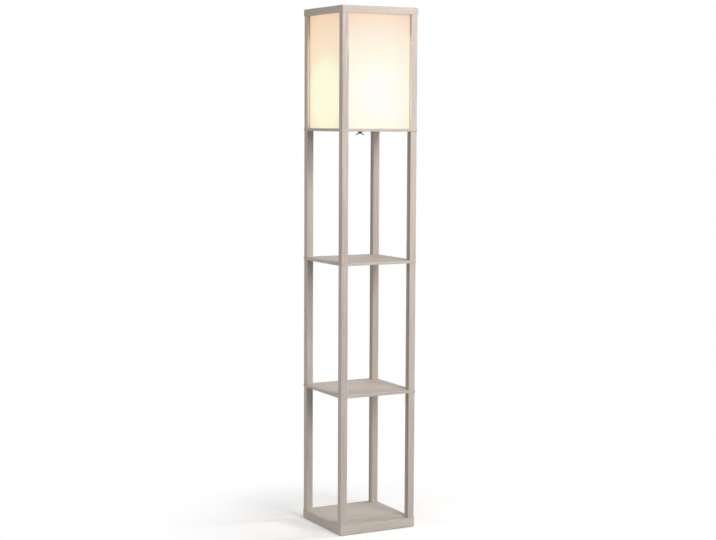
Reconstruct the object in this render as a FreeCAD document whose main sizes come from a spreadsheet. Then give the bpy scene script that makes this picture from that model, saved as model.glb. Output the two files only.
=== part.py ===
import FreeCAD, Part
import os
import Sketcher

# Shelf floor lamp, millimetres, +Z up. The origin is at the middle of the underside, on the floor.
# The front face looks along -Y and the left face along -X.

doc = FreeCAD.newDocument("ShelfFloorLamp")
Vector = FreeCAD.Vector


# ---------------------------------------------------------------- driving dimensions
SIZES = [
    ("board_side", 258.0, "side of every square board and of the top frame"),
    ("board_lip", 1.0, "how far a board stands out past the posts"),
    ("board_thick", 9.0, "shelf boards and lamp box floor"),
    ("base_thick", 28.0, "base board"),
    ("board_round", 0.8, "rounding of the long edges of the boards"),
    ("post_side", 21.5, "square section of the posts"),
    ("post_round", 1.0, "rounding of the long edges of the posts"),
    ("tier_length", 393.0, "post between two boards"),
    ("box_length", 343.0, "lamp box post"),
    ("rail_tall", 21.0, "height of the top rails"),
    ("rail_wide", 22.0, "width of the top rails"),
    ("pad_diameter", 26.0, "foot pad"),
    ("pad_thick", 2.0, "foot pad"),
    ("pad_inset", 24.0, "centre of a foot pad from the edges of the base"),
    ("shade_thick", 1.5, "shade sheet"),
    ("shade_setback", 10.0, "outer face of the post to the outer face of the sheet"),
    ("shade_gap", 0.25, "play of the sheet in its grooves, each side"),
    ("shade_end_gap", 0.5, "play of the sheet's edges in its grooves"),
    ("post_groove", 4.5, "depth of the groove in a lamp box post"),
    ("floor_groove", 3.0, "depth of the groove in the lamp box floor"),
    ("rail_groove", 5.0, "depth of the groove in a top rail"),
    ("stud_diameter", 6.0, "double-ended stud and base screw"),
    ("stud_play", 0.25, "play round a stud in a board, each side"),
    ("stud_reach", 11.0, "length of a stud inside a post"),
    ("insert_diameter", 9.0, "threaded insert"),
    ("insert_length", 13.0, "threaded insert"),
    ("bolt_head_diameter", 11.0, "head of a base screw"),
    ("bolt_head_thick", 3.5, "head of a base screw"),
    ("bolt_key", 4.0, "hexagon socket of a base screw, across flats"),
    ("bolt_key_deep", 2.2, "hexagon socket of a base screw"),
    ("bolt_sink_diameter", 13.0, "counterbore in the base board"),
    ("bolt_sink_deep", 9.0, "counterbore in the base board"),
    ("dowel_diameter", 5.0, "dowel between post and top rail"),
    ("dowel_reach", 12.0, "length of a dowel in the post and in the rail"),
    ("dowel_offset", 4.0, "a dowel's centre from the post's middle, outwards"),
    ("dowel_inward", 5.0, "a dowel's centre from the post's middle, along the rail"),
    ("spline_thick", 3.0, "spline in a mitre"),
    ("spline_long", 14.0, "spline, across the mitre"),
    ("spline_wide", 12.0, "spline, along the mitre"),
    ("spline_drop", 6.0, "top of a spline below the top of the rails"),
    ("spline_play", 0.05, "play of a spline in its slots, each side"),
    ("bracket_span", 52.0, "lamp holder bracket, between the ends of its feet"),
    ("bracket_wide", 18.0, "lamp holder bracket"),
    ("bracket_sheet", 1.5, "lamp holder bracket"),
    ("bracket_tall", 19.0, "lamp holder bracket, foot to top"),
    ("bracket_inner", 28.0, "between the legs of the bracket"),
    ("bracket_bend", 1.5, "inside radius of the bracket's bends"),
    ("screw_diameter", 3.0, "bracket screw"),
    ("screw_length", 8.0, "bracket screw, in the board"),
    ("screw_head", 5.6, "bracket screw"),
    ("screw_head_tall", 2.0, "bracket screw"),
    ("nipple_diameter", 10.0, "hollow threaded nipple, outside"),
    ("nipple_bore", 6.5, "hollow threaded nipple, inside"),
    ("nipple_down", 4.5, "nipple below the top of the bracket"),
    ("nipple_nut_flats", 14.0, "nipple nut, across flats"),
    ("nipple_nut_tall", 2.6, "nipple nut"),
    ("holder_diameter", 40.0, "lamp holder shell, outside"),
    ("holder_wall", 2.2, "lamp holder shell"),
    ("holder_base_tall", 12.0, "lower part of the lamp holder"),
    ("holder_base_floor", 9.0, "depth of the nipple's socket in the lower part"),
    ("holder_base_inset", 1.5, "lower part inside the shell's outer face"),
    ("holder_base_taper", 4.5, "narrowing of the lower part towards the bracket"),
    ("holder_base_rim", 4.0, "upright rim of the lower part"),
    ("mouth_gap", 1.5, "mouth of the holder to the collar of the bulb"),
    ("holder_lip", 1.6, "flange round the mouth of the holder"),
    ("holder_lip_tall", 3.0, "flange round the mouth of the holder"),
    ("cap_diameter", 26.0, "screw cap of the bulb"),
    ("cap_length", 22.0, "screw cap of the bulb"),
    ("cap_wall", 0.6, "screw cap of the bulb"),
    ("cap_fit", 0.08, "running fit of the cap in the screw shell, each side"),
    ("shell_wall", 0.6, "screw shell of the holder"),
    ("shell_tall", 24.0, "screw shell of the holder"),
    ("contact_gap", 0.4, "tip contact to centre contact"),
    ("contact_tall", 4.0, "centre contact above the holder base"),
    ("contact_thick", 0.6, "centre contact"),
    ("contact_long", 16.0, "centre contact"),
    ("contact_wide", 6.0, "centre contact"),
    ("contact_flat", 3.5, "centre contact, half of its raised flat"),
    ("contact_slope", 1.0, "centre contact, run of its slope"),
    ("tip_diameter", 9.0, "tip contact of the bulb"),
    ("tip_tall", 2.5, "tip contact of the bulb"),
    ("tip_taper", 1.5, "tip contact, narrowing of its end"),
    ("cap_cone", 4.0, "conical end of the screw cap"),
    ("housing_tall", 28.0, "collar of the bulb between cap and globe"),
    ("housing_low_diameter", 27.0, "collar at the cap"),
    ("housing_top_diameter", 47.0, "collar at the globe"),
    ("housing_wall", 2.0, "collar of the bulb"),
    ("housing_step", 5.0, "upright foot of the collar"),
    ("housing_flare", 1.2, "widening of the collar's foot"),
    ("globe_diameter", 60.0, "globe of the bulb"),
    ("globe_rise", 21.0, "middle of the globe above the collar"),
    ("globe_wall", 1.2, "globe of the bulb"),
    ("emitter_diameter", 38.0, "emitter plate in the bulb"),
    ("emitter_thick", 1.6, "emitter plate in the bulb"),
    ("emitter_drop", 1.0, "emitter plate below the top of the collar"),
    ("emitter_play", 0.1, "play of the emitter plate in the collar, each side"),
    ("emitter_ledge", 2.0, "ledge in the collar under the emitter plate"),
    ("chip_side", 3.0, "light chip on the emitter plate"),
    ("chip_tall", 0.8, "light chip on the emitter plate"),
    ("chip_ring", 12.0, "radius of the ring of chips"),
    ("switch_side", 24.0, "body of the rotary switch"),
    ("switch_tall", 13.0, "body of the rotary switch"),
    ("bushing_diameter", 10.0, "threaded bushing of the switch"),
    ("bushing_bore", 5.2, "bore of the bushing"),
    ("bushing_play", 0.3, "play of the bushing in the board, each side"),
    ("bushing_below", 3.6, "bushing below the lamp box floor"),
    ("ring_diameter", 16.0, "knurled ring nut of the switch"),
    ("ring_tall", 3.2, "knurled ring nut of the switch"),
    ("knurl_count", 24, "notches round the ring nut"),
    ("knurl_depth", 0.5, "notches round the ring nut"),
    ("shaft_diameter", 5.0, "shaft of the switch"),
    ("shaft_up", 3.0, "shaft above the lamp box floor"),
    ("shaft_end_gap", 1.0, "room above the shaft in the switch"),
    ("key_gap", 0.4, "end of the bushing to the key"),
    ("key_hub_top", 13.0, "hub of the key, at its top"),
    ("key_hub_diameter", 14.6, "hub of the key, at its foot"),
    ("key_hub_tall", 3.6, "hub of the key"),
    ("key_bore_deep", 2.6, "shaft in the key"),
    ("key_bevel", 1.0, "bevel at the foot of the hub"),
    ("key_span", 32.0, "key across its wings"),
    ("key_drop", 8.4, "key, from the top of its hub to the ends of its wings"),
    ("key_wing_top", 0.6, "upper edge of a wing below the top of the hub"),
    ("key_wing_tip", 2.8, "width of a wing at its end"),
    ("key_wing_nose", 1.6, "slant of a wing's end"),
    ("key_thick", 2.4, "thickness of the wings"),
    ("gland_setback", 24.0, "middle of the cord gland from the rear edge"),
    ("gland_diameter", 9.0, "threaded part of the cord gland"),
    ("gland_bore", 6.0, "bore of the cord gland"),
    ("gland_flange", 15.0, "flange of the cord gland"),
    ("gland_flange_tall", 2.5, "flange of the cord gland"),
    ("gland_snout", 9.5, "snout of the cord gland, outside"),
    ("gland_snout_tall", 7.0, "snout of the cord gland"),
    ("gland_snout_taper", 1.0, "narrowing of the snout"),
    ("gland_end", 1.5, "thread of the gland past its nut"),
    ("gland_nut_flats", 13.0, "gland nut, across flats"),
    ("gland_nut_tall", 3.0, "gland nut"),
]


class Size:
    """A length that knows its number and the formula it comes from."""

    def __init__(self, text, value):
        self.text = text
        self.value = value

    def _join(self, other, sign, value):
        other = sizeOf(other)
        return Size("(%s %s %s)" % (self.text, sign, other.text), value(self.value, other.value))

    def __add__(self, other):
        return self._join(other, "+", lambda a, b: a + b)

    def __sub__(self, other):
        return self._join(other, "-", lambda a, b: a - b)

    def __mul__(self, other):
        return self._join(other, "*", lambda a, b: a * b)

    def __truediv__(self, other):
        return self._join(other, "/", lambda a, b: a / b)

    def __radd__(self, other):
        return sizeOf(other) + self

    def __rsub__(self, other):
        return sizeOf(other) - self

    def __rmul__(self, other):
        return sizeOf(other) * self

    def __neg__(self):
        return Size("(0 - %s)" % self.text, -self.value)


def sizeOf(number):
    return number if isinstance(number, Size) else Size("%g" % number, float(number))


class Sheet:
    """The spreadsheet of driving dimensions; each alias is an attribute."""

    def __init__(self, rows):
        self.table = doc.addObject("Spreadsheet::Sheet", "Sizes")
        for number, (alias, value, use) in enumerate(rows, start=1):
            self.table.set("A%d" % number, alias.replace("_", " "))
            self.table.set("B%d" % number, "%g" % value)
            self.table.set("C%d" % number, use)
            self.table.setAlias("B%d" % number, alias)
            setattr(self, alias, Size("Sizes.%s" % alias, value))


d = Sheet(SIZES)
doc.recompute()


# ---------------------------------------------------------------- levels and places
baseUnder = d.pad_thick
baseTop = baseUnder + d.base_thick
lowerShelfUnder = baseTop + d.tier_length
lowerShelfTop = lowerShelfUnder + d.board_thick
upperShelfUnder = lowerShelfTop + d.tier_length
upperShelfTop = upperShelfUnder + d.board_thick
boxFloorUnder = upperShelfTop + d.tier_length
boxFloorTop = boxFloorUnder + d.board_thick
railUnder = boxFloorTop + d.box_length
lampTop = railUnder + d.rail_tall

postCentre = d.board_side / 2 - d.board_lip - d.post_side / 2
postOuter = d.board_side / 2 - d.board_lip
postInner = postOuter - d.post_side
shadeOuter = postOuter - d.shade_setback
shadeMiddle = shadeOuter - d.shade_thick / 2
shadeSlot = d.shade_thick + 2 * d.shade_gap
studHole = d.stud_diameter + 2 * d.stud_play
dowelAcross = postCentre - d.dowel_inward
dowelOutward = postCentre + d.dowel_offset

bracketTop = boxFloorTop + d.bracket_tall
holderBaseTop = bracketTop + d.holder_base_tall
centreContactTop = holderBaseTop + d.contact_tall
tipUnder = centreContactTop + d.contact_gap
capUnder = tipUnder + d.tip_tall
capTop = capUnder + d.cap_length
holderTop = capTop - d.mouth_gap
housingTop = capTop + d.housing_tall
globeMiddle = housingTop + d.globe_rise
keyTop = boxFloorUnder - d.bushing_below - d.key_gap
glandPlace = d.board_side / 2 - d.gland_setback

corners = [("front_left", -1, -1), ("front_right", 1, -1), ("rear_left", -1, 1), ("rear_right", 1, 1)]
outputs = []


# ---------------------------------------------------------------- helpers
def bind(item, prop, size):
    item.setExpression(prop, sizeOf(size).text)


def keep(item, node):
    """Register a finished sub-part under the name of its node."""
    item.Label = node
    outputs.append(item)
    return item


def place(item, x=0, y=0, z=0):
    for axis, size in (("x", x), ("y", y), ("z", z)):
        bind(item, "Placement.Base.%s" % axis, size)


def newBody(name, x=0, y=0, z=0):
    body = doc.addObject("PartDesign::Body", name)
    place(body, x, y, z)
    return body


def newSketch(body, name, role="XY_Plane", lift=0):
    sketch = body.newObject("Sketcher::SketchObject", name)
    plane = next(item for item in body.Origin.OriginFeatures if item.Role == role)
    sketch.AttachmentSupport = [(plane, "")]
    sketch.MapMode = "FlatFace"
    bind(sketch, "AttachmentOffset.Base.z", lift)
    return sketch


def pin(sketch, geometry, vertex, x, y):
    """Hold one point of a sketch at x, y."""
    for kind, size in (("DistanceX", x), ("DistanceY", y)):
        size = sizeOf(size)
        row = sketch.addConstraint(Sketcher.Constraint(kind, geometry, vertex, size.value))
        bind(sketch, "Constraints[%d]" % row, size)


def outline(sketch, points):
    """A closed outline of straight lines through the given points."""
    points = [(sizeOf(x), sizeOf(y)) for x, y in points]
    first = sketch.GeometryCount
    count = len(points)
    for index, (x, y) in enumerate(points):
        nextX, nextY = points[(index + 1) % count]
        start = Vector(x.value, y.value, 0)
        sketch.addGeometry(Part.LineSegment(start, Vector(nextX.value, nextY.value, 0)))
    for index in range(count):
        following = first + (index + 1) % count
        sketch.addConstraint(Sketcher.Constraint("Coincident", first + index, 2, following, 1))
    for index, (x, y) in enumerate(points):
        pin(sketch, first + index, 1, x, y)


def rectangle(sketch, left, right, low, high):
    outline(sketch, [(left, low), (right, low), (right, high), (left, high)])


def circle(sketch, x, y, diameter):
    x, y, diameter = sizeOf(x), sizeOf(y), sizeOf(diameter)
    ring = Part.Circle(Vector(x.value, y.value, 0), Vector(0, 0, 1), diameter.value / 2)
    index = sketch.addGeometry(ring)
    pin(sketch, index, 3, x, y)
    row = sketch.addConstraint(Sketcher.Constraint("Diameter", index, diameter.value))
    bind(sketch, "Constraints[%d]" % row, diameter)


def pad(body, sketch, length):
    feature = body.newObject("PartDesign::Pad", sketch.Name + "Pad")
    feature.Profile = sketch
    bind(feature, "Length", length)
    sketch.Visibility = False
    return feature


def pocket(body, sketch, depth=None, upward=False):
    """Cut a sketch out of the body, downwards unless upward; through everything without a depth."""
    before = body.Tip
    doc.recompute()
    volume = before.Shape.Volume
    feature = body.newObject("PartDesign::Pocket", sketch.Name + "Pocket")
    feature.Profile = sketch
    feature.Reversed = upward
    if depth is None:
        feature.Type = "ThroughAll"
    else:
        bind(feature, "Length", depth)
    doc.recompute()
    if not feature.Shape.Volume < volume - 0.01:
        raise ValueError("%s cuts nothing" % feature.Name)
    return feature


def isLong(edge, direction, least):
    """Whether an edge is straight, at least so long, and along the direction."""
    if edge.Curve.TypeId != "Part::GeomLine" or edge.Length < least:
        return False
    return abs(edge.tangentAt(edge.FirstParameter).dot(direction)) > 0.999


def roundEdges(body, picked, radius):
    """Round the edges of the body's tip that a test picks."""
    doc.recompute()
    tip = body.Tip
    names = ["Edge%d" % (i + 1) for i, edge in enumerate(tip.Shape.Edges) if picked(edge)]
    feature = body.newObject("PartDesign::Fillet", body.Name + "Round")
    feature.Base = (tip, names)
    bind(feature, "Radius", radius)
    return feature


def lathe(node, points, z=0):
    """A turned piece from its half outline of (radius, height) points, about its own Z axis."""
    body = newBody(node, z=z)
    sketch = newSketch(body, node + "_outline", "XZ_Plane")
    outline(sketch, points)
    turn = body.newObject("PartDesign::Revolution", node + "_turn")
    turn.Profile = sketch
    turn.ReferenceAxis = (sketch, ["V_Axis"])
    turn.Angle = 360
    return keep(body, node)


def cylinder(name, diameter, height, x=0, y=0, z=0):
    item = doc.addObject("Part::Cylinder", name)
    bind(item, "Radius", diameter / 2)
    bind(item, "Height", height)
    place(item, x, y, z)
    return item


def hexagon(name, flats, height, x=0, y=0, z=0):
    item = doc.addObject("Part::Prism", name)
    item.Polygon = 6
    bind(item, "Circumradius", flats / 3 ** 0.5)
    bind(item, "Height", height)
    place(item, x, y, z)
    return item


def cut(name, base, tool):
    item = doc.addObject("Part::Cut", name)
    item.Base = base
    item.Tool = tool
    return item


def group(node, items):
    """Identical separate pieces that share one node."""
    item = doc.addObject("Part::Compound", node)
    item.Links = items
    return keep(item, node)


# ---------------------------------------------------------------- boards
def squareBoard(node, thick, under):
    body = newBody(node, z=under)
    half = d.board_side / 2
    sketch = newSketch(body, node + "_square")
    rectangle(sketch, -half, half, -half, half)
    pad(body, sketch, thick)
    return body


def finishBoard(body, node):
    """Drill the four stud holes, round the outer edges, and keep the board."""
    sketch = newSketch(body, node + "_stud_holes")
    for corner, sideX, sideY in corners:
        circle(sketch, sideX * postCentre, sideY * postCentre, studHole)
    pocket(body, sketch, upward=True)
    half = d.board_side.value / 2

    def isOuter(edge):
        middle = edge.CenterOfMass
        if edge.Curve.TypeId != "Part::GeomLine":
            return False
        return max(abs(middle.x), abs(middle.y)) > half - 0.01

    roundEdges(body, isOuter, d.board_round)
    return keep(body, node)


def baseBoard():
    body = squareBoard("base_board", d.base_thick, baseUnder)
    sketch = newSketch(body, "base_board_sinks")
    for corner, sideX, sideY in corners:
        circle(sketch, sideX * postCentre, sideY * postCentre, d.bolt_sink_diameter)
    pocket(body, sketch, d.bolt_sink_deep, upward=True)
    return finishBoard(body, "base_board")


def shelf(node, under):
    return finishBoard(squareBoard(node, d.board_thick, under), node)


def boxFloor():
    """The lamp box floor: grooves for the shade, and holes for switch and gland."""
    node = "lamp_box_floor"
    body = squareBoard(node, d.board_thick, boxFloorUnder)
    grooves = newSketch(body, node + "_grooves", lift=d.board_thick)
    near = shadeMiddle - shadeSlot / 2
    far = shadeMiddle + shadeSlot / 2
    reach = postInner + d.post_groove
    for side in (-1, 1):
        low, high = (near, far) if side > 0 else (-far, -near)
        rectangle(grooves, -reach, reach, low, high)
        rectangle(grooves, low, high, -reach, reach)
    pocket(body, grooves, d.floor_groove)
    holes = newSketch(body, node + "_fitting_holes")
    circle(holes, 0, 0, d.bushing_diameter + 2 * d.bushing_play)
    circle(holes, 0, glandPlace, d.gland_diameter + 2 * d.bushing_play)
    pocket(body, holes, upward=True)
    screws = newSketch(body, node + "_screw_holes", lift=d.board_thick)
    for side in (-1, 1):
        circle(screws, side * bracketScrewPlace, 0, d.screw_diameter)
    pocket(body, screws, d.screw_length)
    return finishBoard(body, node)


# ---------------------------------------------------------------- posts
def post(node, sideX, sideY, length, under, inBox=False):
    """One square post, with sockets for its inserts, and with shade grooves in the lamp box."""
    body = newBody(node, sideX * postCentre, sideY * postCentre, under)
    half = d.post_side / 2
    section = newSketch(body, node + "_section")
    rectangle(section, -half, half, -half, half)
    pad(body, section, length)
    foot = newSketch(body, node + "_foot_socket")
    circle(foot, 0, 0, d.insert_diameter)
    pocket(body, foot, d.insert_length, upward=True)
    head = newSketch(body, node + "_head_socket", lift=length)
    if inBox:
        circle(head, -sideX * d.dowel_inward, sideY * d.dowel_offset, d.dowel_diameter)
        circle(head, sideX * d.dowel_offset, -sideY * d.dowel_inward, d.dowel_diameter)
        pocket(body, head, d.dowel_reach)
    else:
        circle(head, 0, 0, d.insert_diameter)
        pocket(body, head, d.insert_length)
    roundEdges(body, lambda edge: isLong(edge, Vector(0, 0, 1), length.value - 1), d.post_round)
    if inBox:
        grooves = newSketch(body, node + "_grooves")
        middle = shadeMiddle - postCentre
        low = middle - shadeSlot / 2
        high = middle + shadeSlot / 2
        inner = d.post_side / 2
        depth = inner - d.post_groove
        sideways = (-inner, -depth) if sideX > 0 else (depth, inner)
        across = (low, high) if sideY > 0 else (-high, -low)
        rectangle(grooves, sideways[0], sideways[1], across[0], across[1])
        sideways = (low, high) if sideX > 0 else (-high, -low)
        across = (-inner, -depth) if sideY > 0 else (depth, inner)
        rectangle(grooves, sideways[0], sideways[1], across[0], across[1])
        pocket(body, grooves, upward=True)
    return keep(body, node)


def tier(name, under):
    for corner, sideX, sideY in corners:
        post("%s_post_%s" % (name, corner), sideX, sideY, d.tier_length, under)


# ---------------------------------------------------------------- top frame
def splineBox(name, sideX, sideY, play=0):
    """A spline that lies across a mitre, or the slot for it with play."""
    item = doc.addObject("Part::Box", name)
    long = d.spline_long + 2 * play
    wide = d.spline_wide + 2 * play
    thick = d.spline_thick + 2 * play
    bind(item, "Length", long)
    bind(item, "Width", wide)
    bind(item, "Height", thick)
    middle = d.board_side / 2 - d.rail_wide / 2
    turned = 0.5 ** 0.5 / 2  # half of the sine of 45 degrees
    if sideX == sideY:
        item.Placement.Rotation = FreeCAD.Rotation(Vector(0, 0, 1), -45)
        shiftX, shiftY = (long + wide) * turned, (wide - long) * turned
    else:
        item.Placement.Rotation = FreeCAD.Rotation(Vector(0, 0, 1), 45)
        shiftX, shiftY = (long - wide) * turned, (long + wide) * turned
    low = lampTop - d.spline_drop - d.spline_thick - play
    place(item, sideX * middle - shiftX, sideY * middle - shiftY, low)
    return item


def topRail(node, side, isFront):
    """One mitred rail of the top frame: front and rear run along X, left and right along Y."""
    body = newBody(node + "_solid", z=railUnder)
    outer = d.board_side / 2
    inner = outer - d.rail_wide
    section = newSketch(body, node + "_plan")
    points = [(-outer, side * outer), (outer, side * outer), (inner, side * inner), (-inner, side * inner)]
    along = (lambda x, y: (x, y)) if isFront else (lambda x, y: (y, x))
    outline(section, [along(x, y) for x, y in points])
    pad(body, section, d.rail_tall)
    groove = newSketch(body, node + "_groove")
    reach = postInner + d.post_groove
    low = shadeMiddle - shadeSlot / 2
    high = shadeMiddle + shadeSlot / 2
    near, far = (low, high) if side > 0 else (-high, -low)
    if isFront:
        rectangle(groove, -reach, reach, near, far)
    else:
        rectangle(groove, near, far, -reach, reach)
    pocket(body, groove, d.rail_groove, upward=True)
    holes = newSketch(body, node + "_dowel_holes")
    for end in (-1, 1):
        x, y = along(end * dowelAcross, side * dowelOutward)
        circle(holes, x, y, d.dowel_diameter)
    pocket(body, holes, d.dowel_reach, upward=True)
    half = outer.value

    def isOuter(edge):
        middle = edge.CenterOfMass
        position = middle.y if isFront else middle.x
        direction = Vector(1, 0, 0) if isFront else Vector(0, 1, 0)
        return isLong(edge, direction, 2 * inner.value) and abs(position) > half - 0.01

    roundEdges(body, isOuter, d.board_round)
    doc.recompute()
    slots = doc.addObject("Part::MultiFuse", node + "_slots")
    pairs = [(end, side) if isFront else (side, end) for end in (-1, 1)]
    slots.Shapes = [splineBox("%s_slot%d" % (node, n), x, y, d.spline_play) for n, (x, y) in enumerate(pairs)]
    return keep(cut(node + "_slotted", body, slots), node)


# ---------------------------------------------------------------- shade
def shadePanel(node, side, isFront):
    body = newBody(node, z=boxFloorTop - d.floor_groove + d.shade_end_gap)
    sketch = newSketch(body, node + "_sheet")
    reach = postInner + d.post_groove - d.shade_end_gap
    low = shadeMiddle - d.shade_thick / 2
    high = shadeMiddle + d.shade_thick / 2
    near, far = (low, high) if side > 0 else (-high, -low)
    if isFront:
        rectangle(sketch, -reach, reach, near, far)
    else:
        rectangle(sketch, near, far, -reach, reach)
    height = d.box_length + d.floor_groove + d.rail_groove - 2 * d.shade_end_gap
    pad(body, sketch, height)
    return keep(body, node)


# ---------------------------------------------------------------- fixings
def studs(node, boardUnder):
    length = d.board_thick + 2 * d.stud_reach
    low = boardUnder - d.stud_reach
    pieces = []
    for corner, sideX, sideY in corners:
        x, y = sideX * postCentre, sideY * postCentre
        pieces.append(cylinder("%s_%s" % (node, corner), d.stud_diameter, length, x, y, low))
    group(node, pieces)


def inserts(node, under, length, hasHead=True):
    """Threaded inserts in the foot, and in the head, of four posts."""
    pieces = []
    for corner, sideX, sideY in corners:
        ends = [("foot", under)]
        if hasHead:
            ends.append(("head", under + length - d.insert_length))
        for end, low in ends:
            name = "%s_%s_%s" % (node, corner, end)
            x, y = sideX * postCentre, sideY * postCentre
            sleeve = cylinder(name, d.insert_diameter, d.insert_length, x, y, low)
            thread = cylinder(name + "_thread", d.stud_diameter, d.insert_length, x, y, low)
            pieces.append(cut(name + "_bored", sleeve, thread))
    group(node, pieces)


def baseScrews():
    headUnder = baseUnder + d.bolt_sink_deep - d.bolt_head_thick
    length = d.base_thick - d.bolt_sink_deep + d.stud_reach
    pieces = []
    for corner, sideX, sideY in corners:
        name = "base_screw_%s" % corner
        x, y = sideX * postCentre, sideY * postCentre
        head = cylinder(name + "_head", d.bolt_head_diameter, d.bolt_head_thick, x, y, headUnder)
        shank = cylinder(name + "_shank", d.stud_diameter, length, x, y, baseUnder + d.bolt_sink_deep)
        whole = doc.addObject("Part::Fuse", name + "_whole")
        whole.Base = head
        whole.Tool = shank
        key = hexagon(name + "_key", d.bolt_key, d.bolt_key_deep, x, y, headUnder)
        pieces.append(cut(name, whole, key))
    group("base_screws", pieces)


def dowels():
    low = railUnder - d.dowel_reach
    pieces = []
    for corner, sideX, sideY in corners:
        for name, x, y in (("a", dowelAcross, dowelOutward), ("b", dowelOutward, dowelAcross)):
            label = "dowel_%s_%s" % (corner, name)
            pieces.append(cylinder(label, d.dowel_diameter, 2 * d.dowel_reach, sideX * x, sideY * y, low))
    group("top_frame_dowels", pieces)


def footPads():
    reach = d.board_side / 2 - d.pad_inset
    group("foot_pads", [
        cylinder("foot_pad_" + corner, d.pad_diameter, d.pad_thick, sideX * reach, sideY * reach)
        for corner, sideX, sideY in corners
    ])


# ---------------------------------------------------------------- lamp holder
bracketScrewPlace = (d.bracket_span / 2 + d.bracket_inner / 2 + d.bracket_sheet) / 2


def bracket():
    """A strip bent like a hat: two feet, two legs and a flat top."""
    node = "holder_bracket"
    body = newBody(node, z=boxFloorTop)
    sketch = newSketch(body, node + "_profile", "XZ_Plane", lift=-d.bracket_wide / 2)
    foot = d.bracket_span / 2
    leg = d.bracket_inner / 2
    sheet = d.bracket_sheet
    outline(sketch, [
        (-foot, 0), (-leg, 0), (-leg, d.bracket_tall - sheet), (leg, d.bracket_tall - sheet),
        (leg, 0), (foot, 0), (foot, sheet), (leg + sheet, sheet), (leg + sheet, d.bracket_tall),
        (-leg - sheet, d.bracket_tall), (-leg - sheet, sheet), (-foot, sheet),
    ])
    pad(body, sketch, d.bracket_wide)
    screwHoles = newSketch(body, node + "_screw_holes")
    for side in (-1, 1):
        circle(screwHoles, side * bracketScrewPlace, 0, d.screw_diameter + 2 * d.stud_play)
    pocket(body, screwHoles, sheet, upward=True)
    nippleHole = newSketch(body, node + "_nipple_hole", lift=d.bracket_tall)
    circle(nippleHole, 0, 0, d.nipple_diameter)
    pocket(body, nippleHole, sheet * 2)
    inside = leg.value

    def isBend(edge):
        middle = edge.CenterOfMass
        isCorner = abs(abs(middle.x) - inside) < 0.01 and middle.z > d.bracket_tall.value / 2
        return isCorner and isLong(edge, Vector(0, 1, 0), d.bracket_wide.value - 1)

    def isCrown(edge):
        middle = edge.CenterOfMass
        isCorner = abs(abs(middle.x) - inside - sheet.value) < 0.01 and middle.z > d.bracket_tall.value / 2
        return isCorner and isLong(edge, Vector(0, 1, 0), d.bracket_wide.value - 1)

    roundEdges(body, isBend, d.bracket_bend)
    roundEdges(body, isCrown, d.bracket_bend + sheet)
    return keep(body, node)


def bracketScrews():
    pieces = []
    for name, side in (("left", -1), ("right", 1)):
        shaft = cylinder("bracket_screw_%s_shaft" % name, d.screw_diameter, d.screw_length + d.bracket_sheet,
                         side * bracketScrewPlace, 0, boxFloorTop - d.screw_length)
        head = cylinder("bracket_screw_%s_head" % name, d.screw_head, d.screw_head_tall,
                        side * bracketScrewPlace, 0, boxFloorTop + d.bracket_sheet)
        whole = doc.addObject("Part::Fuse", "bracket_screw_" + name)
        whole.Base = shaft
        whole.Tool = head
        pieces.append(whole)
    group("bracket_screws", pieces)


def holder():
    outer = d.holder_diameter / 2
    inner = outer - d.holder_wall
    bore = d.nipple_diameter / 2
    nippleTop = d.holder_base_floor
    shellOuter = d.cap_diameter / 2 + d.cap_fit + d.shell_wall
    shellInner = shellOuter - d.shell_wall
    tall = holderTop - bracketTop
    shellTop = tall - d.holder_wall

    # lower part: insulating plastic with a socket for the nipple and a way through for the leads
    rim = outer - d.holder_base_inset
    lathe("holder_base", [
        (bore, 0), (rim - d.holder_base_taper, 0), (rim, d.holder_base_tall - d.holder_base_rim),
        (rim, d.holder_base_tall), (d.nipple_bore / 2, d.holder_base_tall), (d.nipple_bore / 2, nippleTop),
        (bore, nippleTop),
    ], bracketTop)

    # outer shell with its flange at the mouth
    lathe("holder_shell", [
        (inner, d.holder_base_tall), (outer, d.holder_base_tall), (outer, tall - d.holder_lip_tall),
        (outer + d.holder_lip, tall - d.holder_lip_tall), (outer + d.holder_lip, tall),
        (shellOuter, tall), (shellOuter, shellTop), (inner, shellTop),
    ], bracketTop)

    # metal screw shell that takes the bulb's cap
    lathe("screw_shell", [
        (shellInner, shellTop - d.shell_tall), (shellOuter, shellTop - d.shell_tall),
        (shellOuter, shellTop), (shellInner, shellTop),
    ], bracketTop)

    # hollow nipple through the bracket, and its nut below
    lathe("holder_nipple", [
        (d.nipple_bore / 2, -d.nipple_down), (bore, -d.nipple_down), (bore, nippleTop),
        (d.nipple_bore / 2, nippleTop),
    ], bracketTop)
    nutLow = bracketTop - d.bracket_sheet - d.nipple_nut_tall
    nut = hexagon("nipple_nut_hexagon", d.nipple_nut_flats, d.nipple_nut_tall, 0, 0, nutLow)
    hole = cylinder("nipple_nut_hole", d.nipple_diameter, d.nipple_nut_tall, 0, 0, nutLow)
    keep(cut("nipple_nut_bored", nut, hole), "nipple_nut")


def centreContact():
    """A springy brass strip: it lies on the holder base and bends up under the bulb's tip."""
    node = "centre_contact"
    body = newBody(node, z=holderBaseTop)
    sketch = newSketch(body, node + "_profile", "XZ_Plane", lift=-d.contact_wide / 2)
    half = d.contact_long / 2
    flat = d.contact_flat
    slope = d.contact_slope
    thick = d.contact_thick
    rise = d.contact_tall
    outline(sketch, [
        (-half, 0), (-flat - slope, 0), (-flat, rise - thick), (flat, rise - thick), (flat, rise),
        (-flat - thick, rise), (-flat - slope - thick, thick), (-half, thick),
    ])
    pad(body, sketch, d.contact_wide)
    return keep(body, node)


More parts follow.
